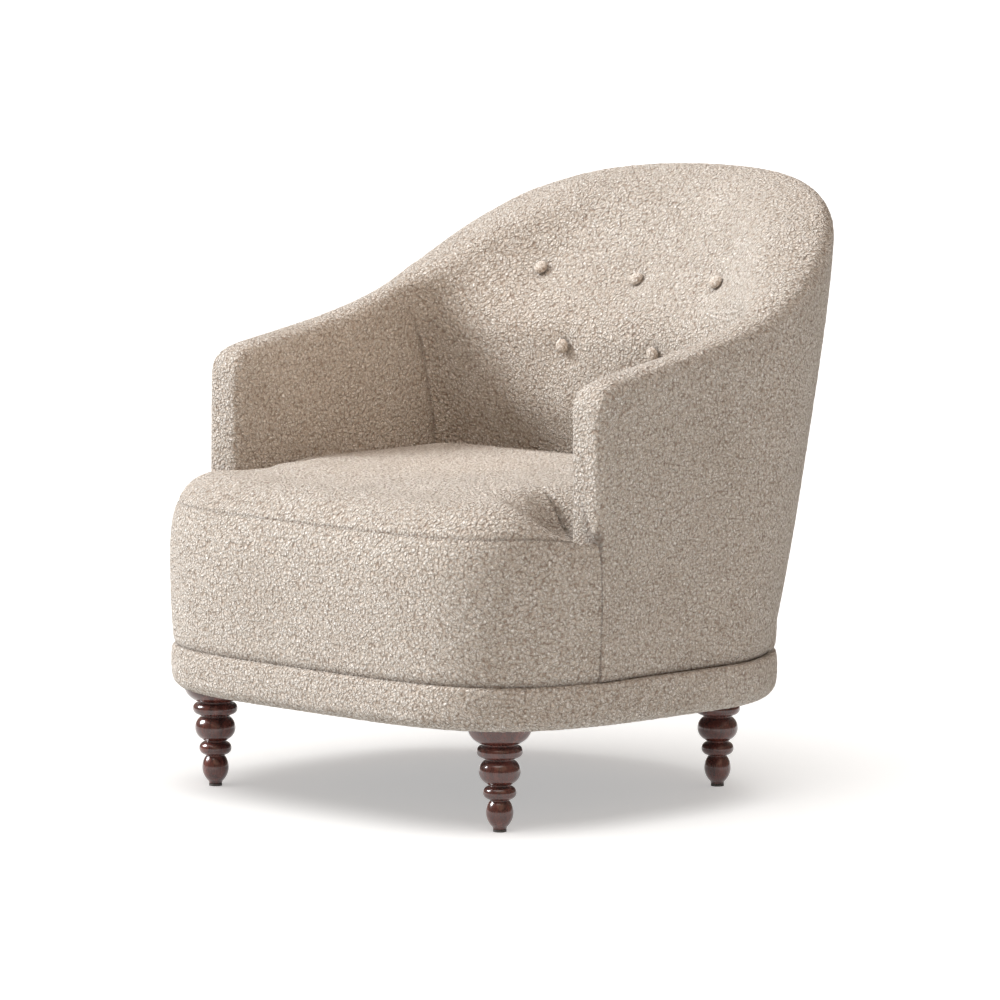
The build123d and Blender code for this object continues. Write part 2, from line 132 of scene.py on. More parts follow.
def plan_arc(angle, half, reach, power):
    """Points of a superellipse in plan: half wide to each side of the origin, and reach deep in y."""
    x = half * signed_power(np.cos(angle), 2 / power)
    y = reach * np.abs(np.sin(angle)) ** (2 / power)
    return np.stack([x, y], 1)


def resample(path, count):
    """Evenly spaced points round a closed path."""
    closed = np.concatenate([path, path[:1]])
    steps = np.linalg.norm(np.diff(closed, axis=0), axis=1)
    length = np.concatenate([[0], np.cumsum(steps)])
    wanted = np.linspace(0, length[-1], count, endpoint=False)
    return np.stack([np.interp(wanted, length, closed[:, i]) for i in range(2)], 1)


def outward_directions(outline, centre):
    """Unit directions that point out of a closed path, square to it at each point."""
    along = np.roll(outline, -1, axis=0) - np.roll(outline, 1, axis=0)
    outward = np.stack([-along[:, 1], along[:, 0]], 1)
    outward /= np.linalg.norm(outward, axis=1, keepdims=True)
    if np.mean(np.sum((outline - centre) * outward, 1)) < 0:
        outward = -outward
    return outward


def surface_normals(points, rows, columns):
    """Unit normals of a grid of points. Which side they point to depends on the order of the grid."""
    grid = points.reshape(rows, columns, 3)
    down = np.gradient(grid, axis=0)
    along = np.gradient(grid, axis=1)
    normal = np.cross(along, down)
    length = np.linalg.norm(normal, axis=2, keepdims=True)
    return (normal / np.maximum(length, 1e-9)).reshape(-1, 3)


# ---------------------------------------------------------------- meshes
def add_mesh(name, points, faces, painted_shade=None):
    """A smooth-shaded mesh from points in millimetres, with an optional 0 to 1 painted shade per point, which
    darkens the colour where shade falls.
    """
    mesh = bpy.data.meshes.new(name)
    mesh.from_pydata((np.asarray(points) * MM).tolist(), [], faces)
    mesh.polygons.foreach_set("use_smooth", [True] * len(mesh.polygons))
    if painted_shade is not None:
        shade = mesh.attributes.new("painted_shade", "FLOAT", "POINT")
        shade.data.foreach_set("value", np.asarray(painted_shade, np.float32))
    shape = bmesh.new()
    shape.from_mesh(mesh)
    bmesh.ops.recalc_face_normals(shape, faces=shape.faces)
    shape.to_mesh(mesh)
    shape.free()
    piece = bpy.data.objects.new(name, mesh)
    bpy.context.scene.collection.objects.link(piece)
    return piece


def grid_faces(rows, columns, closed=False):
    """Quads of a grid of points stored row by row. A closed grid joins its last column to its first."""
    faces = []
    last = columns if closed else columns - 1
    for r in range(rows - 1):
        a = r * columns
        b = (r + 1) * columns
        for c in range(last):
            d = (c + 1) % columns
            faces.append((a + c, a + d, b + d, b + c))
    return faces


def refine(piece, levels):
    """Adds subdivision to a piece."""
    modifier = piece.modifiers.new("subdivision", "SUBSURF")
    modifier.levels = levels
    modifier.render_levels = levels


def nap(piece, size, depth):
    """Small lumps of the looped yarn, real enough to show on the outline. Both sizes are millimetres."""
    texture = bpy.data.textures.new(piece.name + "_nap", "CLOUDS")
    texture.noise_scale = size * MM
    texture.noise_depth = 1
    modifier = piece.modifiers.new("nap", "DISPLACE")
    modifier.texture = texture
    modifier.texture_coords = "LOCAL"
    modifier.strength = depth * MM
    modifier.mid_level = 0.5


# ---------------------------------------------------------------- wall of arms and back
# Inside face at each height: where the arm turns into the back, how deep the back's arc is, half width.
INSIDE_Z = (200, 430, 500, 590, 690, 760, 870)
INSIDE_TURN = (158, 152, 142, 120, 72, 74, 96)
INSIDE_DEPTH = (44, 48, 38, 48, 156, 216, 300)
INSIDE_HALF = (322, 322, 322, 322, 322, 318, 308)

# Height of the wall's top edge at each distance behind the front of the arms.
RIDGE_BEHIND = (0, 9, 30, 90, 205, 310, 384, 478, 548, 640, 720)
RIDGE_Z = (566, 585, 596, 607, 628, 657, 696, 765, 807, 836, 842)
# The cap's outer and inner edges meet the ridge at these parts of the way from outside face to inside.
RIDGE_OUTER = 0.22
RIDGE_INNER = 0.78
RIDGE_FIRST_GUESS = 640.0
RIDGE_ROUNDS = 16
RIDGE_STEP = 0.6

# The outside face leans back as it rises, a little less the higher it is.
OUTSIDE_SLIDE = 8.0
LEAN = 0.31
LEAN_LOSS = 0.00019
# How full the outside is between its sides and its back: 2 is a true ellipse, less is flatter.
SHOULDER_POWER_LOW = 1.84
SHOULDER_POWER_HIGH = 1.95
SHOULDER_FROM_Z = 450.0
SHOULDER_OVER = 300.0
BAND_POWER = 1.93

ARM_COLUMNS = 44
BACK_COLUMNS = 144
END_COLUMNS = 6
OUTSIDE_ROWS = 40
CAP_ROWS = 21
INSIDE_ROWS = 38
SEAM_ROWS = (4.0, 10.0)
INSIDE_LOWEST = 360.0

# The arm's front is rounded off by END_ROUND. ARM_END_Y is about where the arm turns into the back.
END_ROUND = 14.0
ARM_END_Y = 130.0
# The rounded top is CAP_LOW tall on the arms and CAP_GROWTH taller on the back.
CAP_POWER = 2.5
CAP_LOW = 24.0
CAP_GROWTH = 20.0
CAP_GROWS_FROM = 640.0
CAP_GROWS_OVER = 160.0

BUTTON_NODES = tuple(
    "button_" + place for place in ("top_left", "top_middle", "top_right", "bottom_left", "bottom_right")
)
DIMPLE_DEPTH = 9.0
DIMPLE_WIDE = 36.0
DIMPLE_TIGHT = 14.0
DIMPLE_WIDE_PART = 0.62
DIMPLE_TIGHT_PART = 0.38
DIMPLE_FLATTENING = np.array([1.0, 0.6, 1.0])
# Painted shade in each dimple, round its button.
DIMPLE_SHADE = 0.35
DIMPLE_SHADE_WIDE = 12.5

# Seams: half width along the wall as a share, depth in millimetres and painted shade from 0 to 1.
CORNER_SEAM_SHARE = 1.0
CORNER_SEAM_WIDE = 0.017
CORNER_SEAM_DEEP = 3.0
CORNER_SEAM_SHADE = 0.65
CORNER_SEAM_TOP = 640.0
CORNER_SEAM_FADE = 60.0
PANEL_SEAM_SHARE = 1.5
PANEL_SEAM_WIDE = 0.006
PANEL_SEAM_DEEP = 2.0
PANEL_SEAM_SHADE = 0.8
TUCK_WIDE = 5.0
TUCK_DEEP = 2.6
TUCK_SHADE_WIDE = 3.0
ARM_FULLNESS = 1.5
ARM_FULLNESS_TALL = 380.0
ARM_FULLNESS_BACK_Y = CENTRE_Y + 60.0
BORDER_SEAM_WIDE = 6.0
BORDER_SEAM_SHADE = 0.85


def turned_plan(side, share, z, turn, half, depth, power):
    """Points that run straight back along the arm to the turn, then round a quarter of an arc."""
    angle = np.clip(share - 1.0, 0.0, 1.0) * QUARTER
    along = np.clip(share, 0.0, 1.0)
    x = half * np.abs(np.cos(angle)) ** power
    y = ARM_FRONT + (turn - ARM_FRONT) * along + depth * np.abs(np.sin(angle)) ** power
    return np.stack(np.broadcast_arrays(side * x, y, z), -1)


def outside_point(side, share, z):
    """Point of the outside face. Share is 0 at the arm's front, 1 at its end and 2 at the back's middle."""
    above = z - SEAM_Z
    turn = CENTRE_Y + OUTSIDE_SLIDE + LEAN * above - LEAN_LOSS * above**2
    risen = smooth_step((z - SHOULDER_FROM_Z) / SHOULDER_OVER)
    fullness = SHOULDER_POWER_LOW + (SHOULDER_POWER_HIGH - SHOULDER_POWER_LOW) * risen
    return turned_plan(side, share, z, turn, WALL_HALF, BACK_REACH, 2.0 / fullness)


def inside_point(side, share, z):
    """Point of the inside face, with the same share as the outside point it stands against."""
    turn = flowing(z, INSIDE_Z, INSIDE_TURN)
    half = flowing(z, INSIDE_Z, INSIDE_HALF)
    depth = flowing(z, INSIDE_Z, INSIDE_DEPTH)
    return turned_plan(side, share, z, turn, half, depth, 1.0)


def ridge_height(side, share, inward):
    """Height of the wall's top at one share, where the line inward (0 outside, 1 inside) meets the ridge."""
    top = np.full_like(share, RIDGE_FIRST_GUESS)
    for _ in range(RIDGE_ROUNDS):
        outer = outside_point(side, share, top)
        inner = inside_point(side, share, top)
        met = outer + (inner - outer) * inward
        wanted = flowing(met[..., 1] - ARM_FRONT, RIDGE_BEHIND, RIDGE_Z)
        top = top * (1 - RIDGE_STEP) + wanted * RIDGE_STEP
    return float(top[0])


def wall_columns():
    """(side, share, rounding angle) of each column, from the left arm's front round to the right arm's."""
    half = [(0.0, QUARTER * (1 - i / END_COLUMNS)) for i in range(END_COLUMNS)]
    half += [(i / ARM_COLUMNS, 0.0) for i in range(ARM_COLUMNS + 1)]
    half += [(1 + 2.0 * i / BACK_COLUMNS, 0.0) for i in range(1, BACK_COLUMNS // 2 + 1)]
    left = [(-1.0, share, turned) for share, turned in half]
    right = [(1.0, share, turned) for share, turned in reversed(half[:-1])]
    return left + right


def wall_section(side, share, turned):
    """One cross-section of the wall: up the outside, over the top, and down the inside."""
    first_share = END_ROUND / (ARM_END_Y - ARM_FRONT)
    along = share
    if turned > 0:
        along = first_share * (1 - math.sin(turned))
    elif share < 1:
        along = first_share + (1 - first_share) * share
    along = np.array([along])
    outer_top = ridge_height(side, along, RIDGE_OUTER)
    inner_top = ridge_height(side, along, RIDGE_INNER)
    cap = CAP_LOW + CAP_GROWTH * smooth_step((outer_top - CAP_GROWS_FROM) / CAP_GROWS_OVER)

    rows_z = SEAM_Z + (outer_top - cap - SEAM_Z) * np.linspace(0, 1, OUTSIDE_ROWS)
    rows_z[1 : 1 + len(SEAM_ROWS)] = SEAM_Z + np.array(SEAM_ROWS)
    outside = outside_point(side, along, rows_z)

    angle = np.linspace(0, math.pi, CAP_ROWS + 2)[1:-1]
    across = (1 - signed_power(np.cos(angle), 2 / CAP_POWER)) / 2
    rise = np.abs(np.sin(angle)) ** (2 / CAP_POWER)
    cap_z = outer_top + (inner_top - outer_top) * across - cap + cap * rise
    part = across[:, None]
    over = outside_point(side, along, cap_z) * (1 - part) + inside_point(side, along, cap_z) * part

    inner_z = np.linspace(inner_top - cap, INSIDE_LOWEST, INSIDE_ROWS)
    section = np.concatenate([outside, over, inside_point(side, along, inner_z)])
    if turned > 0:
        squeeze = END_ROUND * (1 - math.cos(turned))
        matching_out = outside_point(side, along, section[:, 2])
        matching_in = inside_point(side, along, section[:, 2])
        middle = (matching_out + matching_in) / 2
        half_thick = np.linalg.norm(matching_out - matching_in, axis=1) / 2
        kept = (1 - squeeze / half_thick)[:, None]
        section[:, :2] = middle[:, :2] + (section - middle)[:, :2] * kept
    return section


def wall_end_faces(rows, count, end):
    """Faces that close the wall at one arm's front, from its outside rows across to its inside rows."""
    middle = rows // 2
    faces = []
    for r in range(middle - 1):
        a = r * count + end
        b = (r + 1) * count + end
        c = (rows - 2 - r) * count + end
        d = (rows - 1 - r) * count + end
        faces.append((a, b, c, d))
    faces.append(tuple((middle + k) * count + end for k in (-1, 0, 1)))
    return faces


def build_wall():
    columns = wall_columns()
    count = len(columns)
    grid = np.stack([wall_section(*column) for column in columns], axis=1)
    rows = len(grid)
    points = grid.reshape(-1, 3)
    normals = surface_normals(points, rows, count)
    left_outside = OUTSIDE_ROWS // 2 * count + END_COLUMNS + ARM_COLUMNS // 2
    if normals[left_outside][0] > 0:
        normals = -normals
    row_of = np.repeat(np.arange(rows), count)
    share_of = np.tile([share for _, share, _ in columns], rows)
    inner = row_of > OUTSIDE_ROWS + CAP_ROWS // 2
    outer = row_of < OUTSIDE_ROWS + CAP_ROWS // 2
    push = np.zeros(len(points))
    painted_shade = np.zeros(len(points))

    # The inside back is drawn in at its buttons, with painted shade in each dimple round its button.
    for node in BUTTON_NODES:
        low, high = box_mm(node)
        away = np.linalg.norm((points - (low + high) / 2) * DIMPLE_FLATTENING, axis=1)
        hollow = DIMPLE_WIDE_PART * bell(away, DIMPLE_WIDE) + DIMPLE_TIGHT_PART * bell(away, DIMPLE_TIGHT)
        push -= np.where(inner, DIMPLE_DEPTH * hollow, 0.0)
        painted_shade = np.maximum(painted_shade, np.where(inner, DIMPLE_SHADE * bell(away, DIMPLE_SHADE_WIDE, 6), 0.0))

    # Seam between each inside arm and the inside back, fading out under the ridge: a groove with painted
    # shade in it.
    fade = smooth_step((CORNER_SEAM_TOP - points[:, 2]) / CORNER_SEAM_FADE)
    groove = np.where(inner, bell(share_of - CORNER_SEAM_SHARE, CORNER_SEAM_WIDE) * fade, 0.0)
    push -= CORNER_SEAM_DEEP * groove
    painted_shade = np.maximum(painted_shade, CORNER_SEAM_SHADE * groove)

    # Seams of the outside back panel, up to the rounded top: grooves with painted shade in them.
    below_cap = row_of < OUTSIDE_ROWS - 1
    panel = np.where(below_cap, bell(share_of - PANEL_SEAM_SHARE, PANEL_SEAM_WIDE), 0.0)
    push -= PANEL_SEAM_DEEP * panel
    painted_shade = np.maximum(painted_shade, PANEL_SEAM_SHADE * panel)

    # The outside tucks in to the seam above the band, with painted shade along the tuck, and the arms are a
    # little full above it.
    above = points[:, 2] - SEAM_Z
    push -= TUCK_DEEP * np.where(outer, bell(above, TUCK_WIDE), 0.0)
    painted_shade = np.maximum(painted_shade, np.where(outer, bell(above, TUCK_SHADE_WIDE), 0.0))
    on_arm = outer & (points[:, 1] < ARM_FULLNESS_BACK_Y)
    swell = np.sin(np.clip(above / ARM_FULLNESS_TALL, 0, 1) * math.pi)
    push += ARM_FULLNESS * np.where(on_arm, swell, 0.0)

    # Painted shade along the outside panel's front edge, where it is sewn to the seat's border.
    near_front = points[:, 1] < ARM_FRONT + BORDER_SEAM_WIDE
    at_border = outer & near_front & (points[:, 2] < SEAT_SEAM_Z + BORDER_SEAM_WIDE)
    painted_shade = np.maximum(painted_shade, np.where(at_border, BORDER_SEAM_SHADE, 0.0))

    faces = grid_faces(rows, count)
    for end in (0, count - 1):
        faces += wall_end_faces(rows, count, end)
    return add_mesh("wall_upholstery", points + normals * push[:, None], faces, painted_shade)


# ---------------------------------------------------------------- seat
SEAT_SWELL = 7.0
SEAT_MIDDLE = np.array([0.0, -150.0])
SEAT_WIDEST_Z = 312.0
# The seat is full width in front of the corner at each arm's front, and narrower between the arms.
CORNER_Y = ARM_FRONT + 6.5
SEAT_INNER_HALF = 347.0
SEAT_BACK_Y = 60.0
SEAT_BACK_DEPTH = 158.0
SEAT_BACK_POWER = 4.0
SEAT_STEP_IN = ((6.0, 12.0), (0.0, 26.0))
FRONT_POINTS = 260
BACK_POINTS = 90

SEAT_RING = 640
BORDER_ROWS = 22
FACE_ROWS = 16
ROLL_ROWS = 24
TOP_ROWS = 58
ROLL_SPACING = 1.1
TOP_SPACING = 0.9

# The roll over the edge: how far in and how far up it goes in front, beside the arms and between them.
ROLL_POWER = 2.9
FRONT_ROLL = 98.0
FRONT_RISE = SEAT_CROWN - SEAT_WIDEST_Z - 8.0
TUCK_ROLL = 20.0
TUCK_RISE = 92.0
INNER_ROLL = 60.0
INNER_RISE = SEAT_CROWN - SEAT_WIDEST_Z - 9.0
TUCK_FROM_Y = -345.0
TUCK_OVER = 100.0
TUCK_BEYOND_X = 200.0
INNER_OVER = 30.0
# The top panel rises to its crown over this distance, in front and between the arms.
FRONT_SOFT = 90.0
INNER_SOFT = 70.0
SHORTEST_REACH = 0.35

# The border tucks in at the band's seam. BORDER_SHADE_WIDE and TOP_SEAM_SHADE size the painted shade along
# the band's seam and the top panel's seam.
BORDER_FOOT_Z = SEAM_Z - 1.0
BORDER_INSET = 4.6
BORDER_TUCK = 3.4
BORDER_TUCK_WIDE = 4.5
BORDER_SHADE_WIDE = 3.5
TOP_SEAM_SHADE = 0.5
# Points whose painted shade is over the first of these, and that stand the second over the band's seam, are
# drawn in by the third: the top panel's seam and the hollows beside the arms.
DRAWN_IN_SHADE = 0.3
DRAWN_IN_ABOVE = 60.0
DRAWN_IN_DEEP = 1.6
CORNER_SHADE = 0.9
CORNER_SHADE_WIDE = 2.4
CORNER_SHADE_ABOVE = 6.0

# The hollow where the seat is drawn down beside the front of each arm, with painted shade in it.
HOLLOW_X = 330.0
HOLLOW_Y = ARM_FRONT + 8.0
HOLLOW_Z = 384.0
HOLLOW_WIDE = 70.0
HOLLOW_LONG = 60.0
HOLLOW_POWER = 2.8
HOLLOW_SHADE = 0.5


def seat_outline():
    """Plan of the seat: a full superellipse front as far as the arms, then a narrower body between them."""
    reach = FRONT_REACH + SEAT_SWELL
    start = math.asin(((CENTRE_Y - CORNER_Y) / reach) ** (FRONT_POWER / 2))
    front_angles = np.linspace(start, math.pi - start, FRONT_POINTS)
    front = plan_arc(front_angles, BASE_HALF + SEAT_SWELL, -reach, FRONT_POWER) + [0.0, CENTRE_Y]
    back_angles = np.linspace(math.pi, 0, BACK_POINTS)
    back = plan_arc(back_angles, SEAT_INNER_HALF, SEAT_BACK_DEPTH, SEAT_BACK_POWER) + [0.0, SEAT_BACK_Y]
    left_side = np.array([[-SEAT_INNER_HALF - out, CORNER_Y + behind] for out, behind in SEAT_STEP_IN])
    right_side = left_side[::-1] * np.array([-1, 1])
    return resample(np.concatenate([front, left_side, back, right_side]), SEAT_RING)


def seat_rings(outline, reach):
    """(inset, height, painted shade) of each ring of the seat, from the band's seam up to the crown."""
    beside = np.abs(outline[:, 0]) > TUCK_BEYOND_X
    near_arm = smooth_step((outline[:, 1] - TUCK_FROM_Y) / TUCK_OVER) * beside
    between = smooth_step((outline[:, 1] - CORNER_Y) / INNER_OVER)
    roll = FRONT_ROLL + (TUCK_ROLL - FRONT_ROLL) * near_arm
    rise = FRONT_RISE + (TUCK_RISE - FRONT_RISE) * near_arm
    roll = roll + (INNER_ROLL - roll) * between
    rise = rise + (INNER_RISE - rise) * between
    soft = FRONT_SOFT + (INNER_SOFT - FRONT_SOFT) * between

    rings = []
    # Border, from the band's seam to the widest line, with painted shade along the band's seam.
    for i in range(BORDER_ROWS):
        share = i / BORDER_ROWS
        z = BORDER_FOOT_Z + (SEAT_WIDEST_Z - BORDER_FOOT_Z) * share
        inset = BORDER_INSET * (1 - share) ** 2 + BORDER_TUCK * bell(z - SEAM_Z, BORDER_TUCK_WIDE)
        rings.append((inset, z, bell(z - SEAM_Z, BORDER_SHADE_WIDE)))

    # Roll over the edge. The seam of the top panel lies part of the way up it, with painted shade along it.
    seam_angle = np.arcsin(((SEAT_SEAM_Z - SEAT_WIDEST_Z) / rise) ** (ROLL_POWER / 2))
    angles = [(seam_angle * i / FACE_ROWS, 0.0) for i in range(FACE_ROWS)]
    angles.append((seam_angle, TOP_SEAM_SHADE))
    for i in range(1, ROLL_ROWS + 1):
        angles.append((seam_angle + (QUARTER - seam_angle) * (i / ROLL_ROWS) ** ROLL_SPACING, 0.0))
    for angle, shade in angles:
        inset = roll * (1 - np.cos(angle) ** (2 / ROLL_POWER))
        z = SEAT_WIDEST_Z + rise * np.sin(angle) ** (2 / ROLL_POWER)
        rings.append((inset, z, shade))

    # Top panel, rising softly to the crown.
    edge_z = SEAT_WIDEST_Z + rise
    for i in range(1, TOP_ROWS + 1):
        inset = roll + (reach - roll) * (i / TOP_ROWS) ** TOP_SPACING
        z = edge_z + (SEAT_CROWN - edge_z) * smooth_step((inset - roll) / soft)
        rings.append((np.minimum(inset, reach * 0.999), z, 0.0))
    return rings


def build_seat():
    outline = seat_outline()
    spoke = outline - SEAT_MIDDLE
    outward = outward_directions(outline, SEAT_MIDDLE)
    straight_out = np.sum(spoke * outward, 1)
    reach = np.maximum(straight_out, SHORTEST_REACH * np.linalg.norm(spoke, axis=1))
    rings = seat_rings(outline, reach)

    points = []
    painted_shade = []
    for inset, z, shade in rings:
        plan = SEAT_MIDDLE + spoke * (1 - inset / reach)[:, None]
        off_x = (np.abs(plan[:, 0]) - HOLLOW_X) / HOLLOW_WIDE
        off_y = (plan[:, 1] - HOLLOW_Y) / HOLLOW_LONG
        hollow = bell(np.hypot(off_x, off_y), 1.0, HOLLOW_POWER)
        height = z - hollow * np.maximum(z - HOLLOW_Z, 0.0)
        points.append(np.column_stack([plan, height]))
        # Painted shade in the hollow beside each arm, added to the seam's painted shade.
        painted_shade.append(np.maximum(shade, HOLLOW_SHADE * hollow * (z > HOLLOW_Z)))
    points = np.concatenate(points)
    painted_shade = np.concatenate(painted_shade)

    normals = surface_normals(points, len(rings), SEAT_RING)
    border = slice(0, SEAT_RING * BORDER_ROWS)
    if np.mean(normals[border] * (points[border] - [0, 0, SEAT_WIDEST_Z])) < 0:
        normals = -normals
    shade_mark = (painted_shade > DRAWN_IN_SHADE) & (points[:, 2] > SEAM_Z + DRAWN_IN_ABOVE)
    points = points - normals * (DRAWN_IN_DEEP * shade_mark)[:, None]
    # Painted shade in the corner where the seat steps in at each arm's front.
    at_corner = np.tile(np.abs(outline[:, 1] - CORNER_Y) < CORNER_SHADE_WIDE, len(rings))
    at_corner &= points[:, 2] < SEAT_SEAM_Z + CORNER_SHADE_ABOVE
    painted_shade = np.maximum(painted_shade, CORNER_SHADE * at_corner)

    centre = len(points)
    points = np.vstack([points, [*SEAT_MIDDLE, SEAT_CROWN]])
    painted_shade = np.append(painted_shade, 0.0)
    faces = grid_faces(len(rings), SEAT_RING, closed=True)
    last = (len(rings) - 1) * SEAT_RING
    for c in range(SEAT_RING):
        faces.append((last + c, last + (c + 1) % SEAT_RING, centre))
    return add_mesh("seat_upholstery", points, faces, painted_shade)


# ---------------------------------------------------------------- band
BAND_RING = 380
BAND_PLAN_POINTS = 300
BAND_FACE = BAND_SWELL - 1.0
BAND_UNDER = ((-46.0, 1.5), (-34.0, 0.0), (-26.0, 0.0))
BAND_ROUND = 21.0
BAND_ROUND_ROWS = 8
BAND_BELLY = 1.0
BAND_BELLY_ROWS = 7
BAND_TOP_IN = 9.0
BAND_TOP_DOWN = 7.0
BAND_TOP_UP = 6.5
BAND_TOP_ROWS = 8
BAND_LIP = (-10.0, -2.0)
BAND_SHADE_FROM = BAND_SWELL - 4.0
BAND_SHADE_OVER = 7.0
BAND_SHADE_TALL = 8.0


def base_outline():
    """Plan of the base: a superellipse front joined to a flatter back."""
    angle = np.linspace(0, math.pi, BAND_PLAN_POINTS)
    front = plan_arc(angle, BASE_HALF, -FRONT_REACH, FRONT_POWER)
    back = plan_arc(angle, -BASE_HALF, BACK_REACH, BAND_POWER)[1:-1]
    return resample(np.concatenate([front, back]) + [0.0, CENTRE_Y], BAND_RING)


def band_profile():
    """(swell, height) of each ring: in under the chair, round its lower edge, up and in to the seam."""
    profile = [(swell, BAND_BOTTOM + up) for swell, up in BAND_UNDER]
    for k in range(1, BAND_ROUND_ROWS + 1):
        angle = QUARTER * k / BAND_ROUND_ROWS
        swell = BAND_FACE - BAND_ROUND * (1 - math.sin(angle))
        profile.append((swell, BAND_BOTTOM + BAND_ROUND * (1 - math.cos(angle))))
    straight = SEAM_Z - BAND_BOTTOM - BAND_ROUND - BAND_TOP_DOWN
    for k in range(1, BAND_BELLY_ROWS):
        share = k / BAND_BELLY_ROWS
        swell = BAND_FACE + math.sin(share * math.pi) * BAND_BELLY
        profile.append((swell, BAND_BOTTOM + BAND_ROUND + straight * share))
    for k in range(BAND_TOP_ROWS):
        angle = QUARTER * k / (BAND_TOP_ROWS - 1)
        swell = BAND_FACE - BAND_TOP_IN * (1 - math.cos(angle))
        profile.append((swell, SEAM_Z - BAND_TOP_DOWN + BAND_TOP_UP * math.sin(angle)))
    profile.append((BAND_LIP[0], SEAM_Z + BAND_LIP[1]))
    return profile


def build_band():
    outline = base_outline()
    outward = outward_directions(outline, [0.0, CENTRE_Y])
    profile = band_profile()
    points = []
    painted_shade = []
    for swell, z in profile:
        points.append(np.column_stack([outline + outward * swell, np.full(BAND_RING, z)]))
        # Painted shade where the band's top turns in under the seam.
        deep = 0.0
        if z > SEAM_Z - BAND_SHADE_TALL:
            deep = min(1.0, max(0.0, (BAND_SHADE_FROM - swell) / BAND_SHADE_OVER))
        painted_shade.append(np.full(BAND_RING, deep))
    faces = grid_faces(len(profile), BAND_RING, closed=True)
    return add_mesh("band_upholstery", np.concatenate(points), faces, np.concatenate(painted_shade))


# ---------------------------------------------------------------- buttons
# (radius, height) of the domed cap from its middle out, and the painted shade of each ring after the first,
# darkest under the turned edge.
BUTTON_PROFILE = (
    (0.0, 5.9), (3.6, 5.7), (6.4, 5.0), (8.6, 3.5), (9.9, 1.4), (10.2, -0.8), (9.6, -2.9), (8.2, -4.6),
)
BUTTON_SHADES = (0.0, 0.0, 0.0, 0.0, 0.0, 0.5, 1.0)
BUTTON_AROUND = 36
BUTTON_FORWARD = np.array([0.0, 2.5, 0.0])
BUTTON_PLEATS = 9
PLEAT_DEPTH = 0.012
PLEAT_RADIUS = 9.8
BUTTON_TURN_IN = 0.0009
SLOPE_STEP = 6.0


def build_button(name):
    """A fabric-covered button: a domed cap with its edge turned under, set square to the inside back."""
    low, high = box_mm(name)
    centre = (low + high) / 2 - BUTTON_FORWARD
    z = np.array([centre[2] - SLOPE_STEP, centre[2] + SLOPE_STEP])
    back_y = flowing(z, INSIDE_Z, INSIDE_TURN) + flowing(z, INSIDE_Z, INSIDE_DEPTH)
    slope = (back_y[1] - back_y[0]) / (2 * SLOPE_STEP)
    axis = Vector((-centre[0] * BUTTON_TURN_IN, -1.0, slope)).normalized()
    turn = axis.to_track_quat("Z", "Y").to_matrix()
    points = []
    for radius, height in BUTTON_PROFILE[1:]:
        for k in range(BUTTON_AROUND):
            a = 2 * math.pi * k / BUTTON_AROUND
            pleat = 1 + PLEAT_DEPTH * math.sin(BUTTON_PLEATS * a) * (radius / PLEAT_RADIUS) ** 2
            local = Vector((radius * pleat * math.cos(a), radius * pleat * math.sin(a), height))
            points.append(np.array(turn @ local) + centre)
    top = len(points)
    points.append(np.array(turn @ Vector((0, 0, BUTTON_PROFILE[0][1]))) + centre)
    faces = grid_faces(len(BUTTON_PROFILE) - 1, BUTTON_AROUND, closed=True)
    faces += [((k + 1) % BUTTON_AROUND, k, top) for k in range(BUTTON_AROUND)]
    # Painted shade under the cap's turned edge.
    painted_shade = [shade for shade in BUTTON_SHADES for _ in range(BUTTON_AROUND)] + [0.0]
    return add_mesh(name + "_cap", points, faces, painted_shade)


# ---------------------------------------------------------------- legs
# (radius, height) down the side of a leg, from its foot up. A row of plain points is joined straight; a row
# that ends in a number is an arc through its three points, cut into that many steps.
LEG_FOOT = ((0.0, 0.0), (8.2, 0.0), (9.4, 1.2))
LEG_TURNING = (
    ((9.4, 6.0),),
    ((9.8, 6.6), (18.2, 28.5), (12.5, 42.2), 14),
    ((13.0, 43.0), (14.6, 43.2)),
    ((16.0, 43.8), (22.4, 52.5), (16.0, 61.2), 12),
    ((15.2, 62.2), (15.4, 63.2), (17.0, 63.8)),
    ((18.4, 65.0), (28.0, 80.5), (19.6, 96.2), 16),
    ((19.2, 97.2), (21.4, 98.2)),
    ((23.6, 99.2), (31.0, 107.5), (24.6, 115.8), 12),
    ((23.8, 117.0), (24.6, 118.2), (28.0, 118.8)),
    ((29.2, 119.6), (38.5, 127.5), (43.6, 141.2), 8),
)
LEG_TOP_RADIUS = 43.6
LEG_AROUND = 72


def arc_profile(start, through, end, count):
    """Points on the circle through three (radius, height) points."""
    (x1, y1), (x2, y2), (x3, y3) = start, through, end
    d = 2 * (x1 * (y2 - y3) + x2 * (y3 - y1) + x3 * (y1 - y2))
    s1 = x1 * x1 + y1 * y1
    s2 = x2 * x2 + y2 * y2
    s3 = x3 * x3 + y3 * y3
    cx = (s1 * (y2 - y3) + s2 * (y3 - y1) + s3 * (y1 - y2)) / d
    cy = (s1 * (x3 - x2) + s2 * (x1 - x3) + s3 * (x2 - x1)) / d
    radius = math.hypot(x1 - cx, y1 - cy)
    a1 = math.atan2(y1 - cy, x1 - cx)
    a3 = math.atan2(y3 - cy, x3 - cx)
    angles = [a1 + (a3 - a1) * k / count for k in range(count + 1)]
    return [(cx + radius * math.cos(a), cy + radius * math.sin(a)) for a in angles]


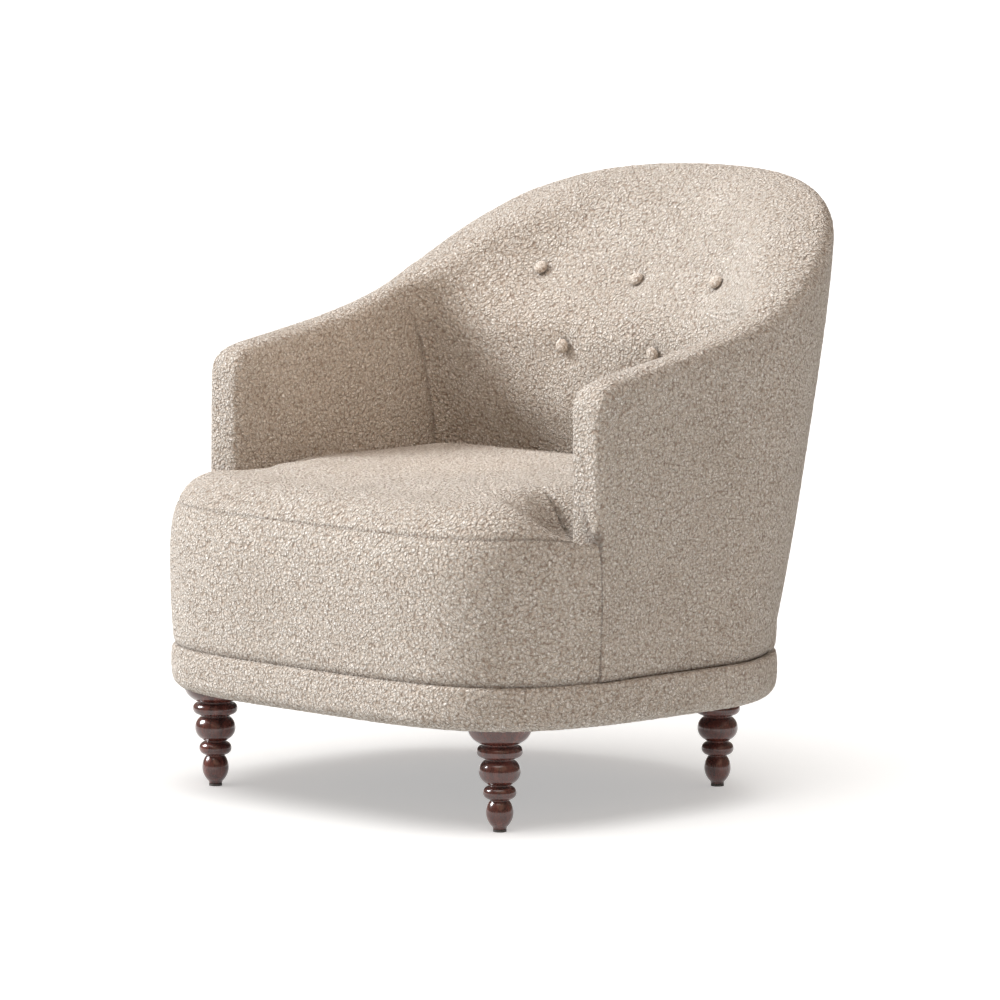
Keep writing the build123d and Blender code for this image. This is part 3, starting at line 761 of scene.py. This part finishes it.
def build_leg(node):
    """A turned leg: foot, egg, ring, ball, ring and the cup that carries the seat."""
    low, high = box_mm(node)
    centre = (low + high) / 2
    profile = [(radius, low[2] + up) for radius, up in LEG_FOOT]
    for row in LEG_TURNING:
        profile += arc_profile(*row) if isinstance(row[-1], int) else row
    profile.append((LEG_TOP_RADIUS, high[2]))
    points = []
    for radius, height in profile:
        for k in range(LEG_AROUND):
            a = 2 * math.pi * k / LEG_AROUND
            points.append((centre[0] + radius * math.cos(a), centre[1] + radius * math.sin(a), height))
    return add_mesh(node + "_turned", points, grid_faces(len(profile), LEG_AROUND, closed=True))


# ---------------------------------------------------------------- shader helpers
def new_material(name):
    """A new material with its nodes, links and Principled shader."""
    material = bpy.data.materials.new(name)
    material.use_nodes = True
    nodes = material.node_tree.nodes
    return material, nodes, material.node_tree.links, nodes["Principled BSDF"]


def set_inputs(node, values):
    """Sets a node's inputs by name."""
    for name, value in values.items():
        node.inputs[name].default_value = value


def add_node(nodes, kind, **values):
    """Adds a shader node; values name its inputs, or its properties when it has no such input."""
    node = nodes.new(kind)
    for key, value in values.items():
        label = key.replace("_", " ")
        match = [socket for socket in node.inputs if socket.name.lower() == label]
        if match:
            match[0].default_value = value
        else:
            setattr(node, key, value)
    return node


def ramp(nodes, links, value, stops):
    """A colour ramp over a value; stops are (position, colour). Returns the colour."""
    node = nodes.new("ShaderNodeValToRGB")
    elements = node.color_ramp.elements
    for element, (position, colour) in ((elements[0], stops[0]), (elements[1], stops[-1])):
        element.position = position
        element.color = (*colour, 1)
    for position, colour in stops[1:-1]:
        elements.new(position).color = (*colour, 1)
    links.new(value, node.inputs["Fac"])
    return node.outputs["Color"]


def maths(nodes, links, operation, *values, clamp=False):
    """A maths node over the values, which are numbers or sockets. Returns its result."""
    node = nodes.new("ShaderNodeMath")
    node.operation = operation
    node.use_clamp = clamp
    for socket, value in zip(node.inputs, values):
        if isinstance(value, (int, float)):
            socket.default_value = value
        else:
            links.new(value, socket)
    return node.outputs[0]


def mix_colours(nodes, links, blend, factor, first, second):
    """Mixes two colours. The factor and the second colour are a value or a socket."""
    node = add_node(nodes, "ShaderNodeMix", data_type="RGBA", blend_type=blend)
    links.new(first, node.inputs[6])
    for socket, value in ((node.inputs["Factor"], factor), (node.inputs[7], second)):
        if isinstance(value, bpy.types.NodeSocket):
            links.new(value, socket)
        else:
            socket.default_value = value
    return node.outputs[2]


def add_relief(nodes, links, shader, height, strength, distance):
    """Bumps the shader's surface by a height."""
    relief = add_node(nodes, "ShaderNodeBump", strength=strength, distance=distance)
    links.new(height, relief.inputs["Height"])
    links.new(relief.outputs["Normal"], shader.inputs["Normal"])


# ---------------------------------------------------------------- materials
LOOP_SCALE = 265.0
# Colour by nub height over the yarn's own sand colour: taupe painted shade low between the nubs, near-white
# painted highlight on their tops.
YARN_SHADE_AND_HIGHLIGHT_COLOURS = (
    (0.16, (0.380, 0.300, 0.238)),
    (0.36, (0.590, 0.515, 0.440)),
    (0.58, (0.700, 0.635, 0.560)),
    (0.76, (0.960, 0.925, 0.875)),
)
DRIFT_COLOURS = ((0.30, (0.93, 0.92, 0.91)), (0.70, (1.0, 1.0, 1.0)))
PORE_COLOURS = ((0.36, (0.35, 0.28, 0.25)), (0.50, (1.0, 1.0, 1.0)))
# Painted shade: a dark brown mixed into the fabric's colour, up to this strength, where a piece marks shade.
PAINTED_SHADE_COLOUR = (0.085, 0.055, 0.040, 1)
PAINTED_SHADE_STRENGTH = 0.62
YARN_WANDER = (0.0045, 0.0045, 0.0045)
# Scales of the yarn's other patterns, the first two as parts of the loops' own scale.
WANDER_SCALE = 0.9
CURL_SCALE = 2.6
DRIFT_SCALE = 9.0
# A nub is NUB_TOP high in its middle and falls by NUB_FALL outwards; the curl adds up to CURL_HEIGHT.
NUB_TOP = 0.70
NUB_FALL = -0.88
CURL_HEIGHT = 0.44
# Length of one wave of the wave texture at scale 1, in metres.
WAVE_LENGTH = 0.314


def boucle_material(name, loop_scale, relief_depth):
    """Looped wool yarn: round nubs of curled yarn, with pale painted highlight on their tops and taupe
    painted shade between them.
    """
    material, nodes, links, shader = new_material(name)
    place = nodes.new("ShaderNodeTexCoord").outputs["Object"]
    wander = add_node(nodes, "ShaderNodeTexNoise", scale=loop_scale * WANDER_SCALE, detail=0.0)
    links.new(place, wander.inputs["Vector"])
    bent = add_node(nodes, "ShaderNodeVectorMath", operation="MULTIPLY_ADD")
    links.new(wander.outputs["Color"], bent.inputs[0])
    bent.inputs[1].default_value = YARN_WANDER
    links.new(place, bent.inputs[2])

    loops = add_node(nodes, "ShaderNodeTexVoronoi", feature="F1", scale=loop_scale)
    curl_scale = loop_scale * CURL_SCALE
    curl = add_node(nodes, "ShaderNodeTexNoise", scale=curl_scale, detail=1.5, roughness=0.6)
    for node in (loops, curl):
        links.new(bent.outputs[0], node.inputs["Vector"])
    broad = add_node(nodes, "ShaderNodeTexNoise", scale=DRIFT_SCALE, detail=1.0)
    links.new(place, broad.inputs["Vector"])
    nub = maths(nodes, links, "MULTIPLY_ADD", loops.outputs["Distance"], NUB_FALL, NUB_TOP)
    height = maths(nodes, links, "MULTIPLY_ADD", curl.outputs["Fac"], CURL_HEIGHT, nub)

    # Painted shade between the nubs and painted highlight on their tops, from the same height as the bump.
    yarn_with_nub_shade = ramp(nodes, links, height, YARN_SHADE_AND_HIGHLIGHT_COLOURS)
    drift = ramp(nodes, links, broad.outputs["Fac"], DRIFT_COLOURS)
    tone_with_nub_shade = mix_colours(nodes, links, "MULTIPLY", 1.0, yarn_with_nub_shade, drift)
    # Painted shade: the colour darkens towards dark brown in seams, dimples, hollows and under button edges,
    # as each piece marks it.
    shade_mark = add_node(nodes, "ShaderNodeAttribute", attribute_name="painted_shade")
    painted_shade_part = maths(nodes, links, "MULTIPLY", shade_mark.outputs["Fac"], PAINTED_SHADE_STRENGTH, clamp=True)
    links.new(mix_colours(nodes, links, "MIX", painted_shade_part, tone_with_nub_shade, PAINTED_SHADE_COLOUR), shader.inputs["Base Color"])
    add_relief(nodes, links, shader, height, 1.0, relief_depth)
    set_inputs(
        shader,
        {
            "Roughness": 0.92,
            "Specular IOR Level": 0.25,
            "Sheen Weight": 0.22,
            "Sheen Roughness": 0.55,
            "Sheen Tint": (1.0, 0.95, 0.88, 1),
        },
    )
    return material


def wood_material(name, dark, light, roughness, coat, stretch):
    """Straight-grained wood: streaks along the height, with fine pores and a stain that gathers in them."""
    material, nodes, links, shader = new_material(name)
    place = nodes.new("ShaderNodeTexCoord").outputs["Object"]
    streaks = add_node(nodes, "ShaderNodeMapping", scale=stretch)
    links.new(place, streaks.inputs["Vector"])
    grain = add_node(nodes, "ShaderNodeTexNoise", scale=1.0, detail=5.0, roughness=0.62, distortion=0.6)
    links.new(streaks.outputs[0], grain.inputs["Vector"])
    fine_streaks = add_node(nodes, "ShaderNodeMapping", scale=tuple(9 * s for s in stretch))
    links.new(place, fine_streaks.inputs["Vector"])
    pores = add_node(nodes, "ShaderNodeTexNoise", scale=1.0, detail=2.0)
    links.new(fine_streaks.outputs[0], pores.inputs["Vector"])
    middle = tuple((a + b) / 2 for a, b in zip(dark, light))
    colour = ramp(nodes, links, grain.outputs["Fac"], ((0.30, dark), (0.52, middle), (0.72, light)))
    specks = ramp(nodes, links, pores.outputs["Fac"], PORE_COLOURS)
    links.new(mix_colours(nodes, links, "MULTIPLY", 0.55, colour, specks), shader.inputs["Base Color"])
    uneven = maths(nodes, links, "MULTIPLY_ADD", grain.outputs["Fac"], 0.16, roughness - 0.08)
    links.new(uneven, shader.inputs["Roughness"])
    add_relief(nodes, links, shader, pores.outputs["Fac"], 0.12, 0.0003)
    set_inputs(shader, {"Coat Weight": coat, "Coat Roughness": 0.08})
    return material


def woven_material(name, dark, light, thread_mm, roughness, bump):
    """Plain weave: two sets of threads that cross over and under each other."""
    material, nodes, links, shader = new_material(name)
    place = nodes.new("ShaderNodeTexCoord").outputs["Object"]
    waves = []
    for direction in ("X", "Y"):
        wave = add_node(nodes, "ShaderNodeTexWave", wave_type="BANDS", bands_direction=direction)
        set_inputs(wave, {"Scale": WAVE_LENGTH / (thread_mm * MM), "Distortion": 0.6})
        links.new(place, wave.inputs["Vector"])
        waves.append(wave.outputs["Fac"])
    height = maths(nodes, links, "MULTIPLY", *waves)
    fleck = add_node(nodes, "ShaderNodeTexNoise", scale=260.0, detail=3.0)
    links.new(place, fleck.inputs["Vector"])
    shade = maths(nodes, links, "MULTIPLY_ADD", fleck.outputs["Fac"], 0.7, height)
    links.new(ramp(nodes, links, shade, ((0.20, dark), (1.05, light))), shader.inputs["Base Color"])
    add_relief(nodes, links, shader, height, bump, 0.0006)
    set_inputs(shader, {"Roughness": roughness})
    return material


def speckled_material(name, dark, light, scale, roughness, metallic=0.0, bump=0.2):
    """A moulded, foamed or plated surface with fine uneven colour."""
    material, nodes, links, shader = new_material(name)
    place = nodes.new("ShaderNodeTexCoord").outputs["Object"]
    grain = add_node(nodes, "ShaderNodeTexNoise", scale=scale, detail=4.0, roughness=0.6)
    links.new(place, grain.inputs["Vector"])
    colour = ramp(nodes, links, grain.outputs["Fac"], ((0.35, dark), (0.68, light)))
    links.new(colour, shader.inputs["Base Color"])
    add_relief(nodes, links, shader, grain.outputs["Fac"], bump, 0.0004)
    set_inputs(shader, {"Roughness": roughness, "Metallic": metallic})
    return material


FINISHES = {
    "boucle": boucle_material("boucle_fabric", LOOP_SCALE, 0.0082),
    "button_boucle": boucle_material("button_boucle_fabric", LOOP_SCALE * 1.3, 0.003),
    "turned_wood": wood_material(
        "mahogany", (0.026, 0.0075, 0.0065), (0.150, 0.038, 0.026), 0.25, 0.9, (90.0, 90.0, 9.0)
    ),
    "frame_wood": wood_material(
        "frame_timber", (0.42, 0.27, 0.14), (0.66, 0.47, 0.28), 0.66, 0.0, (40.0, 40.0, 40.0)
    ),
    "steel": speckled_material("spring_steel", (0.34, 0.34, 0.35), (0.62, 0.62, 0.63), 300.0, 0.36, 1.0),
    "glide_plastic": speckled_material("glide_nylon", (0.045, 0.042, 0.04), (0.09, 0.085, 0.08), 700.0, 0.55),
    "lining_cloth": woven_material("lining", (0.035, 0.034, 0.034), (0.11, 0.105, 0.10), 1.4, 0.9, 0.5),
    "webbing": woven_material("jute_webbing", (0.24, 0.17, 0.10), (0.52, 0.40, 0.27), 2.4, 0.88, 0.7),
    "twine": woven_material("linen_twine", (0.40, 0.33, 0.24), (0.68, 0.60, 0.48), 0.9, 0.85, 0.6),
    "foam": speckled_material("seat_foam", (0.78, 0.72, 0.52), (0.90, 0.86, 0.70), 900.0, 0.9, 0.0, 0.7),
}


def dress(piece, slot, *nodes):
    """Gives a new piece its finish and its body, and hides the CAD nodes it stands for."""
    piece.data.materials.append(FINISHES[slot])
    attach(piece, "root")
    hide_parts(*nodes)


# ---------------------------------------------------------------- assembly
WALL_NODES = (
    "left_arm_cover",
    "right_arm_cover",
    "left_arm_padding",
    "right_arm_padding",
    "inside_back_cover",
    "outside_back_cover",
    "back_foam",
    "back_wadding",
    "back_edge_roll",
)
SEAT_NODES = ("seat_top_cover", "seat_border_cover", "seat_foam", "seat_border_padding")
BAND_NODES = (
    "band_cover",
    "front_band_padding",
    "left_band_padding",
    "right_band_padding",
    "back_band_padding",
)
LEG_NODES = ("front_left_leg", "front_right_leg", "back_left_leg", "back_right_leg")
# Size and depth of the nap's lumps, in millimetres.
WIDE_NAP = (6.0, 1.5)
BUTTON_NAP = (3.0, 0.5)

wall_piece = build_wall()
seat_piece = build_seat()
band_piece = build_band()
dress(wall_piece, "boucle", *WALL_NODES)
dress(seat_piece, "boucle", *SEAT_NODES)
dress(band_piece, "boucle", *BAND_NODES)
buttons = [build_button(node) for node in BUTTON_NODES]
for button, node in zip(buttons, BUTTON_NODES):
    dress(button, "button_boucle", node)
legs = [build_leg(node) for node in LEG_NODES]
for leg, node in zip(legs, LEG_NODES):
    dress(leg, "turned_wood", node)

# Subdivision and nap come after riding, which would otherwise work them out again for every piece.
for piece in (wall_piece, band_piece):
    refine(piece, 1)
for piece in (wall_piece, seat_piece, band_piece):
    nap(piece, *WIDE_NAP)
for button in buttons:
    refine(button, 2)
    nap(button, *BUTTON_NAP)
for leg in legs:
    refine(leg, 1)

# CAD nodes carry a material named after their slot, and get that slot's finish instead.
for node_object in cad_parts.values():
    for place, held in enumerate(node_object.data.materials):
        slot_name = held.name.split(".")[0] if held else None
        if slot_name in FINISHES:
            node_object.data.materials[place] = FINISHES[slot_name]

# ---------------------------------------------------------------- floor and sky
FLOOR_HALF = 60.0
FLOOR_GLOW = 0.41
SKY_COLOUR = (1.0, 0.83, 0.70, 1)
SKY_STRENGTH = 0.25
SEEN_SKY_STRENGTH = 1.05
WHITE = (1.0, 1.0, 1.0, 1)

floor_mesh = bpy.data.meshes.new("floor")
floor_corners = [(x * FLOOR_HALF, y * FLOOR_HALF, 0.0) for x, y in ((-1, -1), (1, -1), (1, 1), (-1, 1))]
floor_mesh.from_pydata(floor_corners, [], [(0, 1, 2, 3)])
floor = bpy.data.objects.new("floor", floor_mesh)
bpy.context.scene.collection.objects.link(floor)
floor_material, _, _, floor_shader = new_material("studio_floor")
set_inputs(
    floor_shader,
    {
        "Base Color": (0.80, 0.80, 0.80, 1),
        "Emission Color": WHITE,
        "Emission Strength": FLOOR_GLOW,
        "Roughness": 1.0,
        "Specular IOR Level": 0.0,
    },
)
floor_mesh.materials.append(floor_material)
floor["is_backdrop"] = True

# The sky lights the chair warmly and dimly, and is plain white where the camera sees it.
world = bpy.data.worlds.new("studio")
world.use_nodes = True
sky_nodes = world.node_tree.nodes
sky_links = world.node_tree.links
set_inputs(sky_nodes["Background"], {"Color": SKY_COLOUR, "Strength": SKY_STRENGTH})
seen_sky = add_node(sky_nodes, "ShaderNodeBackground", color=WHITE, strength=SEEN_SKY_STRENGTH)
sky_choice = sky_nodes.new("ShaderNodeMixShader")
sky_path = sky_nodes.new("ShaderNodeLightPath")
sky_links.new(sky_path.outputs["Is Camera Ray"], sky_choice.inputs["Fac"])
sky_links.new(sky_nodes["Background"].outputs[0], sky_choice.inputs[1])
sky_links.new(seen_sky.outputs[0], sky_choice.inputs[2])
sky_links.new(sky_choice.outputs[0], sky_nodes["World Output"].inputs["Surface"])
bpy.context.scene.world = world


# ---------------------------------------------------------------- lights
def add_lamp(name, kind, towards, energy, colour, receivers=None):
    """A light that shines from the direction towards, on everything or only on some pieces."""
    data = bpy.data.lights.new(name, kind)
    data.energy = energy
    data.color = colour
    lamp = bpy.data.objects.new(name, data)
    lamp.rotation_mode = "QUATERNION"
    lamp.rotation_quaternion = Vector(towards).to_track_quat("Z", "Y")
    bpy.context.scene.collection.objects.link(lamp)
    if receivers:
        lamp.light_linking.receiver_collection = receivers
    return lamp


chair_only = bpy.data.collections.new("lit_chair")
for chair_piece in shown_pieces():
    chair_only.objects.link(chair_piece)
floor_only = bpy.data.collections.new("lit_floor")
floor_only.objects.link(floor)

# Name, direction, strength, spread in degrees, colour, and what it lights.
SUNS = (
    ("key_light", (-0.70, -0.48, 0.60), 4.95, 22.0, (0.95, 0.97, 1.0), chair_only),
    ("fill_light", (0.66, -0.45, 0.80), 0.43, 60.0, (1.0, 0.64, 0.43), chair_only),
    ("top_light", (0.05, -0.20, 1.0), 1.5, 62.0, (1.0, 0.99, 0.98), None),
    ("floor_light", (0.0, -0.1, 1.0), 1.05, 75.0, (0.93, 0.98, 1.0), floor_only),
)
for sun_name, towards, strength, spread, colour, receivers in SUNS:
    sun = add_lamp(sun_name, "SUN", towards, strength, colour, receivers)
    sun.data.angle = math.radians(spread)

# A small warm panel over the seat gives the inside of the left arm the light that the seat throws on it.
bounce = add_lamp("bounce_light", "AREA", (0.48, -0.06, -0.03), 0.32, (1.0, 0.82, 0.68), chair_only)
bounce.location = (0.15, -0.14, 0.62)
bounce.data.size = 0.26
bounce.data.spread = math.radians(110.0)
bounce.visible_camera = False

# ---------------------------------------------------------------- camera
CAMERA_TURN = math.radians(45.158)
CAMERA_PAN = math.radians(0.0252)
CAMERA_PITCH = math.radians(6.738)
CAMERA_FAR = 10.0
CAMERA_ASIDE = -0.048
CAMERA_HIGH = 1.5773
CAMERA_LENS = 264.9

camera_data = bpy.data.cameras.new("camera")
camera_data.sensor_width = 36.0
camera_data.lens = CAMERA_LENS
camera_data.clip_end = 200.0
camera = bpy.data.objects.new("camera", camera_data)
camera_x = CAMERA_FAR * math.sin(CAMERA_TURN)
camera_y = CAMERA_ASIDE - CAMERA_FAR * math.cos(CAMERA_TURN)
camera.location = (camera_x, camera_y, CAMERA_HIGH)
camera.rotation_euler = (QUARTER - CAMERA_PITCH, 0.0, CAMERA_TURN - CAMERA_PAN)
bpy.context.scene.collection.objects.link(camera)
bpy.context.scene.camera = camera
bpy.context.scene.view_settings.view_transform = "Standard"
